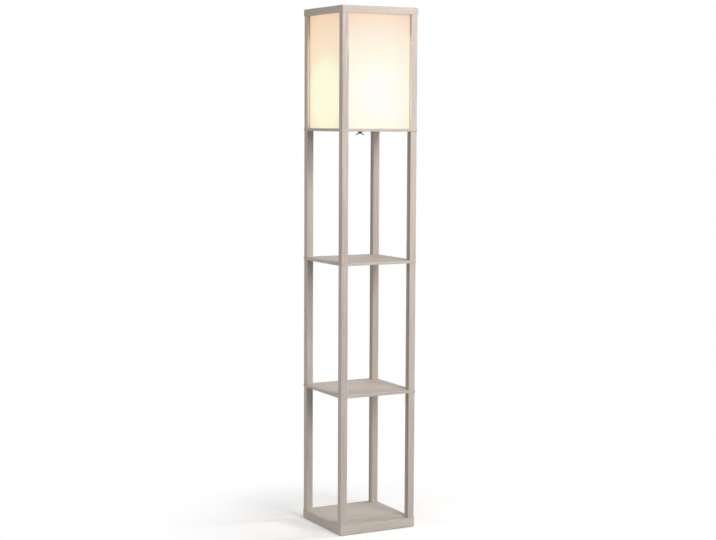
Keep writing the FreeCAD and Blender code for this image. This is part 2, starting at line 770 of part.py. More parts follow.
# ---------------------------------------------------------------- bulb
def bulb():
    cap = d.cap_diameter / 2
    wall = d.cap_wall
    tip = d.tip_diameter / 2
    lathe("bulb_tip", [(0, 0), (tip - d.tip_taper, 0), (tip, d.tip_tall), (0, d.tip_tall)], tipUnder)
    lathe("bulb_cap", [
        (0, 0), (tip, 0), (cap, d.cap_cone), (cap, d.cap_length), (cap - wall, d.cap_length),
        (cap - wall, d.cap_cone + wall / 2), (tip - wall / 2, wall), (0, wall),
    ], capUnder)

    low = d.housing_low_diameter / 2
    high = d.housing_top_diameter / 2
    thick = d.housing_wall
    foot = low + d.housing_flare
    seat = d.housing_tall - d.emitter_drop - d.emitter_thick
    recess = d.emitter_diameter / 2 + d.emitter_play
    lathe("bulb_housing", [
        (low - thick, 0), (low, 0), (foot, d.housing_step), (high, d.housing_tall), (recess, d.housing_tall),
        (recess, seat), (recess - d.emitter_ledge, seat), (foot - thick, d.housing_step),
    ], capTop)

    # round plate with its ring of chips, on the ledge of the collar
    plateLow = housingTop - d.emitter_thick - d.emitter_drop
    pieces = [cylinder("emitter_disc", d.emitter_diameter, d.emitter_thick, 0, 0, plateLow)]
    near = d.chip_ring - d.chip_side / 2
    half = d.chip_side / 2
    for number in range(8):
        chip = doc.addObject("Part::Box", "emitter_chip%d" % number)
        for prop, size in (("Length", d.chip_side), ("Width", d.chip_side), ("Height", d.chip_tall)):
            bind(chip, prop, size)
        turned = FreeCAD.Rotation(Vector(0, 0, 1), 360 / 8 * number)
        outwards = turned.multVec(Vector(1, 0, 0))
        across = turned.multVec(Vector(0, 1, 0))
        chip.Placement.Rotation = turned
        place(chip, outwards.x * near - across.x * half, outwards.y * near - across.y * half,
              plateLow + d.emitter_thick)
        pieces.append(chip)
    whole = doc.addObject("Part::MultiFuse", "emitter_whole")
    whole.Shapes = pieces
    keep(whole, "emitter_plate")

    # globe: a sphere that runs down in a cone to the top of the housing
    ball = globeMiddle - housingTop
    shape = globeShell(d.globe_diameter.value / 2, high.value, ball.value, d.globe_wall.value)
    globe = doc.addObject("Part::Feature", "bulb_globe_turned")
    globe.Shape = shape
    place(globe, 0, 0, housingTop)
    keep(globe, "bulb_globe")


def globeShell(radius, mouth, middle, wall):
    """Turn the globe's wall: outside arc and cone, and the same outline moved in by the wall."""

    def side(reach, neck):
        # the point where the line from the mouth touches the circle
        away = Vector(neck, 0, -middle)
        distance = away.Length
        along = reach * reach / distance
        off = reach * (1 - (reach / distance) ** 2) ** 0.5
        unit = away * (1 / distance)
        normal = Vector(unit.z, 0, -unit.x) * -1
        touch = Vector(0, 0, middle) + unit * along + normal * off
        return Vector(neck, 0, 0), touch

    start, touch = side(radius, mouth)
    top = Vector(0, 0, middle + radius)
    through = Vector(radius, 0, middle)
    innerStart, innerTouch = side(radius - wall, mouth - wall)
    innerTop = Vector(0, 0, middle + radius - wall)
    innerThrough = Vector(radius - wall, 0, middle)
    edges = [
        Part.LineSegment(start, touch).toShape(),
        Part.Arc(touch, through, top).toShape(),
        Part.LineSegment(top, innerTop).toShape(),
        Part.Arc(innerTop, innerThrough, innerTouch).toShape(),
        Part.LineSegment(innerTouch, innerStart).toShape(),
        Part.LineSegment(innerStart, start).toShape(),
    ]
    face = Part.Face(Part.Wire(edges))
    return face.revolve(Vector(0, 0, 0), Vector(0, 0, 1), 360)


# ---------------------------------------------------------------- switch
def switch():
    body = newBody("switch_body", z=boxFloorTop)
    half = d.switch_side / 2
    section = newSketch(body, "switch_body_section")
    rectangle(section, -half, half, -half, half)
    pad(body, section, d.switch_tall)
    hole = newSketch(body, "switch_body_hole")
    circle(hole, 0, 0, d.bushing_bore)
    pocket(body, hole, d.shaft_up + d.shaft_end_gap, upward=True)
    height = d.switch_tall.value
    roundEdges(body, lambda edge: isLong(edge, Vector(0, 0, 1), height - 0.5), d.board_round)
    keep(body, "switch_body")

    bushingLength = d.board_thick + d.bushing_below
    lathe("switch_bushing", [
        (d.bushing_bore / 2, 0), (d.bushing_diameter / 2, 0), (d.bushing_diameter / 2, bushingLength),
        (d.bushing_bore / 2, bushingLength),
    ], boxFloorUnder - d.bushing_below)

    ringLow = boxFloorUnder - d.ring_tall
    ring = cylinder("ring_nut_disc", d.ring_diameter, d.ring_tall, 0, 0, ringLow)
    tools = [cylinder("ring_nut_hole", d.bushing_diameter, d.ring_tall, 0, 0, ringLow)]
    notches = int(d.knurl_count.value)
    for number in range(notches):
        direction = FreeCAD.Rotation(Vector(0, 0, 1), 360 / notches * number).multVec(Vector(1, 0, 0))
        reach = d.ring_diameter / 2
        tools.append(cylinder("ring_nut_notch%d" % number, 2 * d.knurl_depth, d.ring_tall,
                              direction.x * reach, direction.y * reach, ringLow))
    removed = doc.addObject("Part::MultiFuse", "ring_nut_tools")
    removed.Shapes = tools
    keep(cut("ring_nut_knurled", ring, removed), "switch_ring_nut")

    shaftLow = keyTop - d.key_bore_deep
    shaftTop = boxFloorTop + d.shaft_up
    keep(cylinder("shaft_rod", d.shaft_diameter, shaftTop - shaftLow, 0, 0, shaftLow), "switch_shaft")
    switchKey()


def switchKey():
    """The key: a domed hub with two thin wings that splay down and out."""
    body = newBody("switch_key", z=keyTop)
    sketch = newSketch(body, "switch_key_hub", "XZ_Plane")
    top = d.key_hub_top / 2
    wide = d.key_hub_diameter / 2
    tall = d.key_hub_tall
    outline(sketch, [
        (0, 0), (top, 0), (wide, -tall / 2), (wide, d.key_bevel - tall), (wide - d.key_bevel, -tall),
        (0, -tall),
    ])
    hub = body.newObject("PartDesign::Revolution", "switch_key_turned")
    hub.Profile = sketch
    hub.ReferenceAxis = (sketch, ["V_Axis"])
    hub.Angle = 360
    doc.recompute()
    root = d.shaft_diameter / 2
    span = d.key_span / 2
    nose = d.key_wing_nose
    tip = d.key_wing_tip - d.key_drop
    for name, side in (("left", -1), ("right", 1)):
        wing = newSketch(body, "switch_key_wing_" + name, "XZ_Plane", lift=-d.key_thick / 2)
        points = [
            (root, -d.key_wing_top), (root, -tall), (span - nose, -d.key_drop), (span, tip - nose),
            (span - nose, tip),
        ]
        outline(wing, points if side > 0 else [(-x, y) for x, y in reversed(points)])
        pad(body, wing, d.key_thick)
    doc.recompute()
    hole = newSketch(body, "switch_key_hole")
    circle(hole, 0, 0, d.shaft_diameter)
    pocket(body, hole, d.key_bore_deep)
    keep(body, "switch_key")


# ---------------------------------------------------------------- cord gland
def gland():
    bore = d.gland_bore / 2
    thread = d.gland_diameter / 2
    length = d.board_thick + d.gland_nut_tall + d.gland_end
    snout = d.gland_snout / 2
    foot = -d.gland_flange_tall
    body = lathe("cord_gland", [
        (bore, foot - d.gland_snout_tall), (snout - d.gland_snout_taper, foot - d.gland_snout_tall),
        (snout, foot),
        (d.gland_flange / 2, foot), (d.gland_flange / 2, 0), (thread, 0), (thread, length), (bore, length),
    ], boxFloorUnder)
    place(body, 0, glandPlace, boxFloorUnder)
    nut = hexagon("gland_nut_hexagon", d.gland_nut_flats, d.gland_nut_tall, 0, glandPlace, boxFloorTop)
    hole = cylinder("gland_nut_hole", d.gland_diameter, d.gland_nut_tall, 0, glandPlace, boxFloorTop)
    keep(cut("gland_nut_bored", nut, hole), "gland_nut")


# ---------------------------------------------------------------- the whole lamp
baseBoard()
footPads()
baseScrews()
tier("lower", baseTop)
inserts("lower_post_inserts", baseTop, d.tier_length)
shelf("lower_shelf", lowerShelfUnder)
studs("lower_shelf_studs", lowerShelfUnder)
tier("middle", lowerShelfTop)
inserts("middle_post_inserts", lowerShelfTop, d.tier_length)
shelf("upper_shelf", upperShelfUnder)
studs("upper_shelf_studs", upperShelfUnder)
tier("upper", upperShelfTop)
inserts("upper_post_inserts", upperShelfTop, d.tier_length)
boxFloor()
studs("box_floor_studs", boxFloorUnder)
for corner, sideX, sideY in corners:
    post("lamp_box_post_" + corner, sideX, sideY, d.box_length, boxFloorTop, inBox=True)
inserts("lamp_box_post_inserts", boxFloorTop, d.box_length, hasHead=False)
for name, side, isFront in (("front", -1, True), ("rear", 1, True), ("left", -1, False), ("right", 1, False)):
    topRail("top_rail_" + name, side, isFront)
    shadePanel("shade_panel_" + name, side, isFront)
dowels()
group("mitre_splines", [splineBox("spline_" + corner, sideX, sideY) for corner, sideX, sideY in corners])
bracket()
bracketScrews()
holder()
centreContact()
bulb()
switch()
gland()


# ---------------------------------------------------------------- checks and files
doc.recompute()
for item in doc.Objects:
    if "Invalid" in item.State or "Error" in item.State:
        raise ValueError("%s failed: %s" % (item.Name, item.State))
for item in outputs:
    shape = item.Shape
    if shape.isNull() or not shape.isValid() or not shape.Solids:
        raise ValueError("%s has no good solid" % item.Label)

os.makedirs("parts", exist_ok=True)
for item in outputs:
    item.Shape.exportStep("parts/%s.step" % item.Label)
    print("%-28s solids %2d  volume %11.1f mm3" % (item.Label, len(item.Shape.Solids), item.Shape.Volume))
print(len(outputs), "nodes, top at %.1f mm" % lampTop.value)
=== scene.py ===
import math

import bpy
from mathutils import Matrix, Vector


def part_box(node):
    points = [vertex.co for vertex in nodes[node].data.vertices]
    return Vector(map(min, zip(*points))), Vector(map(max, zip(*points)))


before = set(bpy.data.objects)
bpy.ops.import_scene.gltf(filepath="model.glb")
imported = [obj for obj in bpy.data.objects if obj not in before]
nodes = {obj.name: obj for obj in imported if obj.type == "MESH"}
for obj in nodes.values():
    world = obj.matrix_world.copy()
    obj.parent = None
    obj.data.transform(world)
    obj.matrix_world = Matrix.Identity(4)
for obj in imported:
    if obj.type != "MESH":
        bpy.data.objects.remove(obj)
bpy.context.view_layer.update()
print("frame loaded:", len(nodes), "nodes")

scene = bpy.context.scene
scene.view_settings.view_transform = "Standard"


# one output of a node, which can be added, multiplied and so on
class Signal:
    def __init__(self, paint, node, output):
        self.paint = paint
        self.node = node
        self.socket = None if output is None else node.outputs[output]

    def combine(self, operation, first, second):
        return self.paint.add("ShaderNodeMath", {"operation": operation}, {0: first, 1: second})

    def __add__(self, other):
        return self.combine("ADD", self, other)

    def __radd__(self, other):
        return self.combine("ADD", other, self)

    def __sub__(self, other):
        return self.combine("SUBTRACT", self, other)

    def __rsub__(self, other):
        return self.combine("SUBTRACT", other, self)

    def __mul__(self, other):
        return self.combine("MULTIPLY", self, other)

    def __rmul__(self, other):
        return self.combine("MULTIPLY", other, self)

    def __truediv__(self, other):
        return self.combine("DIVIDE", self, other)

    def __rtruediv__(self, other):
        return self.combine("DIVIDE", other, self)

    def __pow__(self, other):
        return self.combine("POWER", self, other)

    def __rpow__(self, other):
        return self.combine("POWER", other, self)

    def __gt__(self, other):
        return self.combine("GREATER_THAN", self, other)

    def __lt__(self, other):
        return self.combine("LESS_THAN", self, other)

    def __abs__(self):
        return self.paint.add("ShaderNodeMath", {"operation": "ABSOLUTE"}, {0: self})


# the node tree of a material or of the world, with one way to add any node
class Paint:
    def __init__(self, owner):
        owner.use_nodes = True
        self.owner = owner
        self.tree = owner.node_tree
        self.tree.nodes.clear()

    def add(self, kind, settings, inputs, output=0):
        node = self.tree.nodes.new(kind)
        for key, value in settings.items():
            if key == "stops":
                self.setStops(node.color_ramp, value)
            else:
                setattr(node, key, value)
        for key, value in inputs.items():
            if isinstance(value, Signal):
                self.tree.links.new(value.socket, node.inputs[key])
            else:
                node.inputs[key].default_value = value
        return Signal(self, node, output)

    def setStops(self, ramp, stops):
        while len(ramp.elements) < len(stops):
            ramp.elements.new(0.5)
        for element, (position, colour) in zip(ramp.elements, stops):
            element.position = position
            element.color = (*colour, 1.0)

    def ramp(self, value, stops):
        return self.add("ShaderNodeValToRGB", {"stops": stops}, {"Fac": value}, "Color")

    def between(self, value, low, high):
        inputs = {"Value": value, "From Min": low, "From Max": high}
        return self.add("ShaderNodeMapRange", {"interpolation_type": "SMOOTHSTEP"}, inputs)

    def where(self, kind="Object"):
        return self.add("ShaderNodeTexCoord", {}, {}, kind)

    def split(self, vector):
        parts = self.add("ShaderNodeSeparateXYZ", {}, {0: vector}).node
        return [Signal(self, parts, axis) for axis in range(3)]

    def join(self, x, y, z):
        return self.add("ShaderNodeCombineXYZ", {}, {0: x, 1: y, 2: z})

    def sine(self, value):
        return self.add("ShaderNodeMath", {"operation": "SINE"}, {0: value})

    def noise(self, vector, scale=1.0, detail=2.0, roughness=0.5):
        inputs = {"Vector": vector, "Scale": scale, "Detail": detail, "Roughness": roughness}
        return self.add("ShaderNodeTexNoise", {}, inputs)

    # sockets 6 and 7 and output 2 are those of a mix of colours
    def mix(self, factor, first, second, blend="MIX"):
        settings = {"data_type": "RGBA", "blend_type": blend}
        return self.add("ShaderNodeMix", settings, {0: factor, 6: first, 7: second}, 2)

    def bump(self, height, distance, strength):
        inputs = {"Height": height, "Distance": distance, "Strength": strength}
        return self.add("ShaderNodeBump", {}, inputs)

    # 1 for the rays that should find the backdrop as it is shown, 0 for those that carry its light
    def shownRays(self):
        seen = self.add("ShaderNodeLightPath", {}, {}, "Is Camera Ray")
        mirrored = Signal(self, seen.node, "Is Glossy Ray")
        passed = Signal(self, seen.node, "Is Transmission Ray")
        return seen + mirrored + passed

    def mixShader(self, factor, first, second):
        return self.add("ShaderNodeMixShader", {}, {0: factor, 1: first, 2: second})

    def close(self, surface, kind="ShaderNodeOutputMaterial"):
        self.add(kind, {}, {"Surface": surface}, None)
        return self.owner

    def coat(self, inputs):
        return self.close(self.add("ShaderNodeBsdfPrincipled", {}, inputs))


def newPaint(name):
    return Paint(bpy.data.materials.new(name))


# layers added up, each times its share
def weighted(layers, shares):
    parts = [layers[name] * share for name, share in shares.items()]
    return sum(parts[1:], parts[0])


def dress(material, *names):
    for name in names:
        for slot in nodes[name].material_slots:
            slot.material = material


def postsOf(tier):
    return [name for name in nodes if name.startswith(tier + "_") and not name.endswith("_inserts")]


# pale grey oak foil on every board, post and rail; sizes in metres

oak = {
    "pale": (0.668, 0.606, 0.548, 1),
    "middle": (0.575, 0.514, 0.460, 1),
    "dark": (0.452, 0.396, 0.350, 1),
    "pore": (0.300, 0.258, 0.224, 1),
    "seam": (0.170, 0.146, 0.126, 1),
    # the layers of the grain: how wide, how many times longer, and the noise itself
    "layers": {
        "waver": {"wide": 0.060, "longer": 5.0, "detail": 2.0, "roughness": 0.50},
        "cloud": {"wide": 0.070, "longer": 4.5, "detail": 3.0, "roughness": 0.50},
        "streak": {"wide": 0.0042, "longer": 30.0, "detail": 5.0, "roughness": 0.62},
        "fibre": {"wide": 0.0007, "longer": 50.0, "detail": 2.0, "roughness": 0.60},
        "pore": {"wide": 0.00055, "longer": 14.0, "detail": 1.0, "roughness": 0.50},
    },
    "poreEnds": (0.60, 0.68),       # noise where a pore starts, and where it is at its darkest
    "luck": 5.3,                    # how far apart in the tree two pieces can be cut
    "ring": 0.0042,                 # from one growth ring to the next
    "ringWaver": 0.0050,            # how far the rings wander
    "leanAcross": 0.05,             # how the heart of the tree leans along the grain
    "leanDeep": 0.03,
    "toneShares": {"streak": 0.62, "cloud": 0.30, "ring": 0.10, "fibre": 0.14},
    "toneEnds": (0.36, 0.76),       # the sum of those where the foil is darkest and palest
    "middleEnds": (0.36, 0.62),     # cloud that brings in the middle tone, and how much of it
    "middleShare": 0.45,
    "poreShare": 0.26,              # how dark a pore is, and how much more on a ring
    "poreOnRing": 0.28,
    "heightShares": {"streak": 0.35, "fibre": 0.30, "ring": 0.12, "pore": -0.8},
    "bumpHeight": 0.00010,
    "bumpStrength": 0.55,
    "rough": 0.54,
    "roughFibre": 0.10,
    "roughTone": 0.05,
    "roughPore": 0.12,
    "shine": 0.24,
    "squareOn": 0.75,               # a face looks along an axis if more than this of its normal does
    "seamWide": 0.00028,            # dark line where two pieces meet
    "mitreDark": 0.8,
    "buttDark": 0.7,
    # painted light and shade: how much lighter or darker a board's flat faces, and its front and rear
    # edges, are made beside the posts; above 1 is painted light, below 1 painted shade
    "boards": {
        "base_board": (0.98, 1.09),
        "lower_shelf": (1.05, 1.00),
        "upper_shelf": (1.02, 1.00),
        "lamp_box_floor": (1.00, 1.00),
    },
    "boardHeart": (0.03, -0.055),   # the heart of a board's tree, from the middle and from its underside
    "railHeart": (0.0, -0.20),
}


def greyOak(name, along, heart, paintedBoardLight=None, mitred=False, postLength=None):
    paint = newPaint(name)
    x, y, z = paint.split(paint.where())
    luck = paint.add("ShaderNodeObjectInfo", {}, {}, "Random")
    across, deep, run = {"X": (y, z, x), "Y": (x, z, y), "Z": (x, y, z)}[along]
    if paintedBoardLight:
        # the strips glued to the left and right edges have their grain along Y
        normal = paint.split(paint.add("ShaderNodeNewGeometry", {}, {}, "Normal"))
        turned, ends, flats = (abs(axis) > oak["squareOn"] for axis in normal)
        across = across + turned * (x - across)
        run = run + turned * (y - run)
    shift = luck * oak["luck"]

    def grain(look):
        wide = look["wide"]
        long = wide * look["longer"]
        place = paint.join((across + shift) / wide, (deep + shift) / wide, (run + shift) / long)
        return paint.noise(place, detail=look["detail"], roughness=look["roughness"])

    layers = {layer: grain(look) for layer, look in oak["layers"].items()}
    cloud, fibre = layers["cloud"], layers["fibre"]
    pore = paint.between(layers["pore"], *oak["poreEnds"])
    # rings round the heart of the tree
    offAcross = across - heart[0] + run * oak["leanAcross"]
    offDeep = deep - heart[1] - run * oak["leanDeep"]
    bend = (layers["waver"] - 0.5) * oak["ringWaver"]
    far = (offAcross * offAcross + offDeep * offDeep) ** 0.5 + bend + shift
    ring = paint.sine(far * (2 * math.pi / oak["ring"])) * 0.5 + 0.5
    layers.update(pore=pore, ring=ring)

    tone = paint.between(weighted(layers, oak["toneShares"]), *oak["toneEnds"])
    colour = paint.mix(tone, oak["dark"], oak["pale"])
    middle = paint.between(cloud, *oak["middleEnds"]) * oak["middleShare"]
    colour = paint.mix(middle, colour, oak["middle"])
    colour = paint.mix(pore * (oak["poreShare"] + oak["poreOnRing"] * ring), colour, oak["pore"])
    # painted light and shade: the board's flat faces and its front and rear edges made lighter or darker
    if paintedBoardLight:
        share = flats * (paintedBoardLight[0] - 1) + ends * (paintedBoardLight[1] - 1) + 1
        colour = paint.mix(1.0, colour, paint.join(share, share, share), "MULTIPLY")
    height = weighted(layers, oak["heightShares"])
    if mitred:
        seam = abs(abs(x) - abs(y)) < oak["seamWide"]
        colour = paint.mix(seam * oak["mitreDark"], colour, oak["seam"])
        height = height - seam
    if postLength:
        fromMiddle = abs(paint.split(paint.where("Generated"))[2] - 0.5)
        seam = fromMiddle > 0.5 - oak["seamWide"] / postLength
        colour = paint.mix(seam * oak["buttDark"], colour, oak["seam"])
    rough = oak["rough"] + fibre * oak["roughFibre"] - tone * oak["roughTone"]
    return paint.coat({
        "Base Color": colour,
        "Roughness": rough + pore * oak["roughPore"],
        "Specular IOR Level": oak["shine"],
        "Normal": paint.bump(height, oak["bumpHeight"], oak["bumpStrength"]),
    })


for tier in ("lower_post", "middle_post", "upper_post", "lamp_box_post"):
    posts = postsOf(tier)
    low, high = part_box(posts[0])
    dress(greyOak("greyOak_" + tier, "Z", (0.0, 0.0), postLength=high[2] - low[2]), *posts)
# each board gets its painted light and shade
for board, boardLightShade in oak["boards"].items():
    offMiddle, below = oak["boardHeart"]
    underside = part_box(board)[0][2]
    dress(greyOak("greyOak_" + board, "X", (offMiddle, underside + below), paintedBoardLight=boardLightShade), board)
offMiddle, below = oak["railHeart"]
railHeart = (offMiddle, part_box("top_rail_front")[0][2] + below)
dress(greyOak("greyOak_long_rails", "X", railHeart, mitred=True), "top_rail_front", "top_rail_rear")
dress(greyOak("greyOak_side_rails", "Y", railHeart, mitred=True), "top_rail_left", "top_rail_right")
print("grey oak done")


# the lit shade, a painted glow: what a sheet gives off, painted on it as emission, at a distance in metres
# from the middle of the bulb

shade = {
    "bulb": (0.0, 0.0, 1.335),
    "wide": [
        (0.117, (0.825, 0.835, 0.835)),
        (0.129, (0.822, 0.832, 0.780)),
        (0.147, (0.818, 0.828, 0.718)),
        (0.180, (0.812, 0.780, 0.628)),
        (0.223, (0.805, 0.700, 0.575)),
        (0.258, (0.785, 0.622, 0.482)),
        (0.285, (0.760, 0.550, 0.400)),
    ],
    # the left and right sheets get a warmer painted glow of their own, brighter near the bulb than that of
    # the front and rear
    "narrow": [
        (0.117, (0.885, 0.885, 0.640)),
        (0.147, (0.880, 0.868, 0.615)),
        (0.180, (0.858, 0.712, 0.518)),
        (0.223, (0.850, 0.655, 0.462)),
        (0.258, (0.835, 0.605, 0.422)),
        (0.285, (0.810, 0.540, 0.350)),
    ],
    # painted light added to the rear sheet's glow
    "rearPaintedLight": (0.100, 0.085, 0.055),   # for the front lamp's light, which the rear sheet doesn't get
    "sheetLight": (0.15, 0.14, 0.13, 1),
    "sheetDark": (0.12, 0.11, 0.10, 1),
    "dense": (0.975, 0.973, 0.965, 1),   # what a dense place in the weave lets through, beside an open one
    "weave": 0.0011,
    "weaveDetail": 3.0,
    "weaveShare": 0.6,
    "cloudScale": 22.0,                  # patches to a metre
    "cloudShare": 0.4,
    "rough": 0.58,
    "roughWeave": 0.14,
    "shine": 0.2,
    "bumpHeight": 0.00006,
    "bumpStrength": 0.3,
}


def paintedGlowSheet(name, key, lift=(0.0, 0.0, 0.0)):
    glow = shade[key]
    first, last = glow[0][0], glow[-1][0]
    stops = []
    # lift is painted light added to every colour of the glow
    for reach, colour in glow:
        lifted = tuple(level + more for level, more in zip(colour, lift))
        stops.append(((reach - first) / (last - first), lifted))
    paint = newPaint(name)
    place = paint.where()
    toBulb = {0: place, 1: shade["bulb"]}
    away = paint.add("ShaderNodeVectorMath", {"operation": "DISTANCE"}, toBulb, "Value")
    lit = paint.ramp((away - first) / (last - first), stops)
    weave = paint.noise(place, scale=1 / shade["weave"], detail=shade["weaveDetail"])
    cloud = paint.noise(place, scale=shade["cloudScale"])
    openness = weave * shade["weaveShare"] + cloud * shade["cloudShare"]
    mottle = paint.mix(openness, shade["dense"], (1.0, 1.0, 1.0, 1))
    return paint.coat({
        "Base Color": paint.mix(weave, shade["sheetDark"], shade["sheetLight"]),
        "Roughness": shade["rough"] + weave * shade["roughWeave"],
        "Specular IOR Level": shade["shine"],
        "Emission Color": paint.mix(1.0, lit, mottle, "MULTIPLY"),
        "Emission Strength": 1.0,
        "Normal": paint.bump(weave, shade["bumpHeight"], shade["bumpStrength"]),
    })


# each sheet carries a painted glow of the bulb's light
dress(paintedGlowSheet("shadeSheetWidePaintedGlow", "wide"), "shade_panel_front")
# the rear sheet's glow carries painted extra light
dress(paintedGlowSheet("shadeSheetRearPaintedLight", "wide", shade["rearPaintedLight"]), "shade_panel_rear")
dress(paintedGlowSheet("shadeSheetNarrowPaintedGlow", "narrow"), "shade_panel_left", "shade_panel_right")


globe = {
    "low": 1.308,                       # heights between which the glow turns from deep to pale
    "high": 1.360,
    "deep": (1.0, 0.78, 0.50, 1),
    "pale": (1.0, 0.94, 0.80, 1),
    "dense": (0.96, 0.95, 0.93, 1),     # what a dense place in the opal lets through
    "opalLight": (0.32, 0.31, 0.30, 1),
    "opalDark": (0.28, 0.27, 0.26, 1),
    "cloudScale": 60.0,
    "rough": 0.35,
    "roughCloud": 0.1,
    "strength": 0.76,
}


def opalGlobe():
    paint = newPaint("opalGlobe")
    place = paint.where()
    height = paint.split(place)[2]
    cloud = paint.noise(place, scale=globe["cloudScale"])
    lit = paint.mix(paint.between(height, globe["low"], globe["high"]), globe["deep"], globe["pale"])
    mottle = paint.mix(cloud, globe["dense"], (1.0, 1.0, 1.0, 1))
    return paint.coat({
        "Base Color": paint.mix(cloud, globe["opalDark"], globe["opalLight"]),
        "Roughness": globe["rough"] + cloud * globe["roughCloud"],
        "Emission Color": paint.mix(1.0, lit, mottle, "MULTIPLY"),
        "Emission Strength": globe["strength"],
    })


dress(opalGlobe(), "bulb_globe")
print("shade and bulb lit")


# mouldings and metals: two shades of one colour in a fine mottle

mouldings = {
    "phenolic": {"light": (0.050, 0.046, 0.042, 1), "dark": (0.028, 0.026, 0.024, 1), "rough": 0.32},
    "switchPlastic": {"light": (0.060, 0.057, 0.053, 1), "dark": (0.035, 0.033, 0.031, 1), "rough": 0.42},
    "nylon": {"light": (0.075, 0.072, 0.068, 1), "dark": (0.045, 0.043, 0.041, 1), "rough": 0.52},
    "whitePlastic": {"light": (0.78, 0.78, 0.76, 1), "dark": (0.70, 0.70, 0.68, 1), "rough": 0.40},
    "feltPad": {"light": (0.12, 0.11, 0.10, 1), "dark": (0.05, 0.05, 0.045, 1), "rough": 0.88},
}

metals = {
    "zincSteel": {"light": (0.66, 0.66, 0.67, 1), "dark": (0.50, 0.50, 0.52, 1), "rough": 0.34},
    "blackOxide": {"light": (0.150, 0.144, 0.138, 1), "dark": (0.095, 0.091, 0.087, 1), "rough": 0.40},
    "capNickel": {"light": (0.74, 0.72, 0.68, 1), "dark": (0.60, 0.58, 0.55, 1), "rough": 0.26},
    "drawnAluminium": {"light": (0.78, 0.77, 0.75, 1), "dark": (0.64, 0.63, 0.62, 1), "rough": 0.30},
    "brass": {"light": (0.80, 0.62, 0.32, 1), "dark": (0.62, 0.46, 0.22, 1), "rough": 0.28},
}

# shared by all of these; scales in patches to a metre
fineMottle = {
    "cloudScale": 220.0,
    "cloudDetail": 3.0,
    "gritScale": 2600.0,
    "gritDetail": 1.0,
    "cloudShare": 0.7,
    "gritShare": 0.3,
    "toneEnds": (0.35, 0.65),
    "roughGrit": 0.10,
    "roughCloud": 0.05,
    "bumpHeight": 0.00003,
    "bumpStrength": 0.25,
}


def mottled(name, look, metallic):
    paint = newPaint(name)
    place = paint.where()
    cloud = paint.noise(place, scale=fineMottle["cloudScale"], detail=fineMottle["cloudDetail"])
    grit = paint.noise(place, scale=fineMottle["gritScale"], detail=fineMottle["gritDetail"])
    mottle = cloud * fineMottle["cloudShare"] + grit * fineMottle["gritShare"]
    tone = paint.between(mottle, *fineMottle["toneEnds"])
    return paint.coat({
        "Base Color": paint.mix(tone, look["dark"], look["light"]),
        "Metallic": metallic,
        "Roughness": look["rough"] + grit * fineMottle["roughGrit"] - cloud * fineMottle["roughCloud"],
        "Normal": paint.bump(grit, fineMottle["bumpHeight"], fineMottle["bumpStrength"]),
    })


def moulding(name):
    return mottled(name, mouldings[name], 0.0)


def metal(name):
    return mottled(name, metals[name], 1.0)


# the key under the lamp box: dark as far as the edge of its hub, pale wings beyond

wingedLook = {
    "hubLight": (0.120, 0.114, 0.106, 1),
    "hubDark": (0.080, 0.076, 0.070, 1),
    "wingLight": (0.660, 0.650, 0.635, 1),
    "wingDark": (0.580, 0.570, 0.555, 1),
    "hubEdge": 0.0073,
    "edgeSoft": 0.0003,
    "gritScale": 900.0,
    "rough": 0.36,
    "roughGrit": 0.10,
    "bumpHeight": 0.00003,
    "bumpStrength": 0.25,
}


def wingedKey():
    paint = newPaint("wingedKey")
    place = paint.where()
    x, y = paint.split(place)[:2]
    edge = wingedLook["hubEdge"]
    wing = paint.between((x * x + y * y) ** 0.5, edge, edge + wingedLook["edgeSoft"])
    grit = paint.noise(place, scale=wingedLook["gritScale"])
    hubTone = paint.mix(grit, wingedLook["hubDark"], wingedLook["hubLight"])
    wingTone = paint.mix(grit, wingedLook["wingDark"], wingedLook["wingLight"])
    return paint.coat({
        "Base Color": paint.mix(wing, hubTone, wingTone),
        "Roughness": wingedLook["rough"] + grit * wingedLook["roughGrit"],
        "Normal": paint.bump(grit, wingedLook["bumpHeight"], wingedLook["bumpStrength"]),
    })


beechLook = {
    "pale": (0.66, 0.47, 0.30, 1),
    "deep": (0.50, 0.33, 0.19, 1),
    "grainWide": 0.0011,
    "grainLong": 0.025,
    "grainDetail": 3.0,
    "rough": 0.6,
    "roughGrain": 0.1,
}


def beech():
    paint = newPaint("beechWood")
    x, y, z = paint.split(paint.where())
    wide, long = beechLook["grainWide"], beechLook["grainLong"]
    grain = paint.noise(paint.join(x / wide, y / wide, z / long), detail=beechLook["grainDetail"])
    return paint.coat({
        "Base Color": paint.mix(grain, beechLook["deep"], beechLook["pale"]),
        "Roughness": beechLook["rough"] + grain * beechLook["roughGrain"],
    })


studs = [name for name in nodes if name.endswith("_studs")]
inserts = [name for name in nodes if name.endswith("_inserts")]
bracketParts = ["holder_bracket", "bracket_screws", "holder_nipple", "nipple_nut"]
dress(moulding("phenolic"), "holder_base", "holder_shell")
dress(moulding("switchPlastic"), "switch_body")
dress(wingedKey(), "switch_key")
dress(moulding("nylon"), "cord_gland", "gland_nut")
dress(moulding("whitePlastic"), "bulb_housing", "emitter_plate")
dress(moulding("feltPad"), "foot_pads")
dress(metal("zincSteel"), "base_screws", *bracketParts, *studs)
dress(metal("blackOxide"), "switch_bushing", "switch_ring_nut", "switch_shaft")
dress(metal("capNickel"), "bulb_cap")
dress(metal("drawnAluminium"), "screw_shell")
dress(metal("brass"), "bulb_tip", "centre_contact", *inserts)
dress(beech(), "top_frame_dowels", "mitre_splines")
print("metals and mouldings done")


# floor, light and camera

studio = {
    "floorSize": 60.0,
    "floorLight": (0.86, 0.86, 0.86, 1),
    "floorDark": (0.84, 0.84, 0.84, 1),
    "floorMottle": 3.0,
    "floorBounce": (0.40, 0.40, 0.40, 1),
    "floorLift": 0.26,       # white that the camera finds on top of the lit floor
    "whiteFrom": 0.22,       # metres from the lamp where the floor starts to turn plain white
    "whiteTo": 0.68,
    "skyLight": 0.34,
}


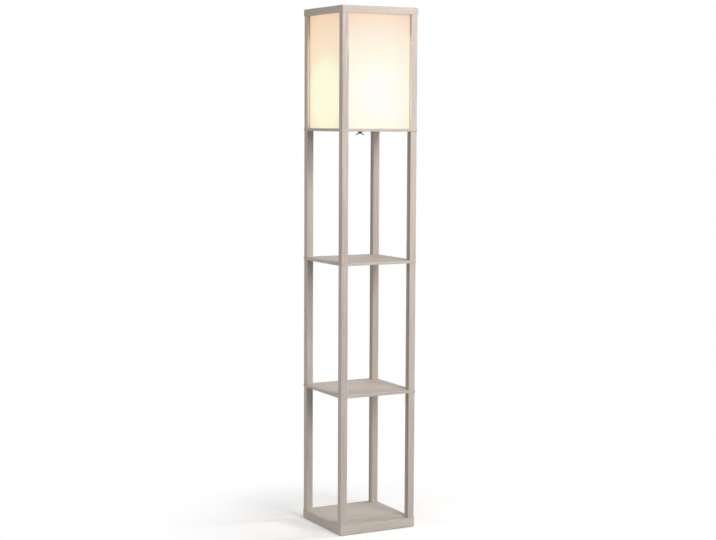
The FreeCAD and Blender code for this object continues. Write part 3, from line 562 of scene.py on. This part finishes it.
def buildFloor():
    half = studio["floorSize"] / 2
    mesh = bpy.data.meshes.new("floor")
    corners = [(-half, -half, 0), (half, -half, 0), (half, half, 0), (-half, half, 0)]
    mesh.from_pydata(corners, [], [(0, 1, 2, 3)])
    floor = bpy.data.objects.new("floor", mesh)
    scene.collection.objects.link(floor)
    paint = newPaint("paleFloor")
    place = paint.where()
    mottle = paint.noise(place, scale=studio["floorMottle"])
    matte = paint.add("ShaderNodeBsdfPrincipled", {}, {
        "Base Color": paint.mix(mottle, studio["floorDark"], studio["floorLight"]),
        "Roughness": 1.0,
        "Specular IOR Level": 0.0,
    })
    bounce = paint.add("ShaderNodeBsdfDiffuse", {}, {"Color": studio["floorBounce"]})
    lift = paint.add("ShaderNodeEmission", {}, {"Strength": studio["floorLift"]})
    white = paint.add("ShaderNodeEmission", {}, {"Strength": 1.0})
    near = paint.add("ShaderNodeAddShader", {}, {0: matte, 1: lift})
    away = paint.add("ShaderNodeVectorMath", {"operation": "LENGTH"}, {0: place}, "Value")
    shown = paint.mixShader(paint.between(away, studio["whiteFrom"], studio["whiteTo"]), near, white)
    mesh.materials.append(paint.close(paint.mixShader(paint.shownRays(), bounce, shown)))


def buildSky():
    scene.world = bpy.data.worlds.new("studio")
    paint = Paint(scene.world)
    plain = {"Color": (1, 1, 1, 1)}
    light = paint.add("ShaderNodeBackground", {}, {**plain, "Strength": studio["skyLight"]})
    white = paint.add("ShaderNodeBackground", {}, {**plain, "Strength": 1.0})
    paint.close(paint.mixShader(paint.shownRays(), light, white), "ShaderNodeOutputWorld")


lampAim = (0.0, 0.0, 0.8)
lamps = {
    "front": {"place": (0.1, -4.2, 2.6), "size": 1.6, "power": 78.0, "colour": (1.0, 0.965, 0.95)},
    "key": {"place": (0.35, -1.6, 2.2), "size": 0.5, "power": 13.0, "colour": (1.0, 0.94, 0.92)},
    "left": {"place": (-5.0, 0.0, 1.1), "size": 0.5, "power": 57.0, "colour": (1.0, 0.98, 0.97)},
    "right": {"place": (3.75, -0.8, 1.5), "size": 0.9, "power": 84.0, "colour": (1.0, 0.98, 0.965)},
}

# what the lit sheets throw on the posts, rails and boards beside them
shadeGlow = {
    "colour": (1.0, 0.77, 0.49),
    "power": {"front": 0.34, "rear": 0.34, "left": 0.25, "right": 0.25},
    "outward": {"front": (0, -1, 0), "rear": (0, 1, 0), "left": (-1, 0, 0), "right": (1, 0, 0)},
    "proud": 0.001,          # metres off the sheet's outer face
    "margin": 0.006,         # inside the sheet's side and lower edges
    "tall": 0.27,
}


def addLamp(name, place, aim, size, power, colour):
    light = bpy.data.lights.new(name, "AREA")
    light.shape = "RECTANGLE"
    light.size, light.size_y = size
    light.energy = power
    light.color = colour
    lamp = bpy.data.objects.new(name, light)
    lamp.location = place
    lamp.rotation_euler = (Vector(aim) - lamp.location).to_track_quat("-Z", "Y").to_euler()
    lamp.visible_camera = False
    scene.collection.objects.link(lamp)
    return lamp


def buildLamps():
    for name, look in lamps.items():
        square = (look["size"], look["size"])
        addLamp(name, look["place"], lampAim, square, look["power"], look["colour"])
    for side, power in shadeGlow["power"].items():
        outward = Vector(shadeGlow["outward"][side])
        low, high = (Vector(corner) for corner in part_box("shade_panel_" + side))
        span = high - low
        place = (low + high) / 2 + outward * (min(span) / 2 + shadeGlow["proud"])
        place.z = low.z + shadeGlow["margin"] + shadeGlow["tall"] / 2
        size = (max(span.x, span.y) - 2 * shadeGlow["margin"], shadeGlow["tall"])
        lamp = addLamp("shadeGlow_" + side, place, place + outward, size, power, shadeGlow["colour"])
        lamp.visible_glossy = False


view = {
    "place": (-2.3312, -4.3692, 1.2673),
    "turn": 28.036,      # degrees from straight at the front, towards +X
    "dip": 5.4135,       # degrees below level
    "roll": 0.2802,
    "film": 36.0,        # millimetres, as the lens
    "lens": 80.62,
    "reach": 100.0,      # metres that the camera sees
}


def buildCamera():
    turn, dip, roll = (math.radians(view[key]) for key in ("turn", "dip", "roll"))
    ahead = Vector((math.sin(turn) * math.cos(dip), math.cos(turn) * math.cos(dip), -math.sin(dip)))
    right = Vector((math.cos(turn), -math.sin(turn), 0))
    down = ahead.cross(right)
    side = right * math.cos(roll) - down * math.sin(roll)
    under = right * math.sin(roll) + down * math.cos(roll)
    camera = bpy.data.cameras.new("camera")
    camera.lens = view["lens"]
    camera.sensor_width = view["film"]
    camera.sensor_fit = "HORIZONTAL"
    camera.clip_end = view["reach"]
    holder = bpy.data.objects.new("camera", camera)
    scene.collection.objects.link(holder)
    axes = Matrix((side, -under, -ahead)).transposed()
    holder.matrix_world = Matrix.Translation(view["place"]) @ axes.to_4x4()
    scene.camera = holder


buildFloor()
buildSky()
buildLamps()
buildCamera()
print("studio ready")
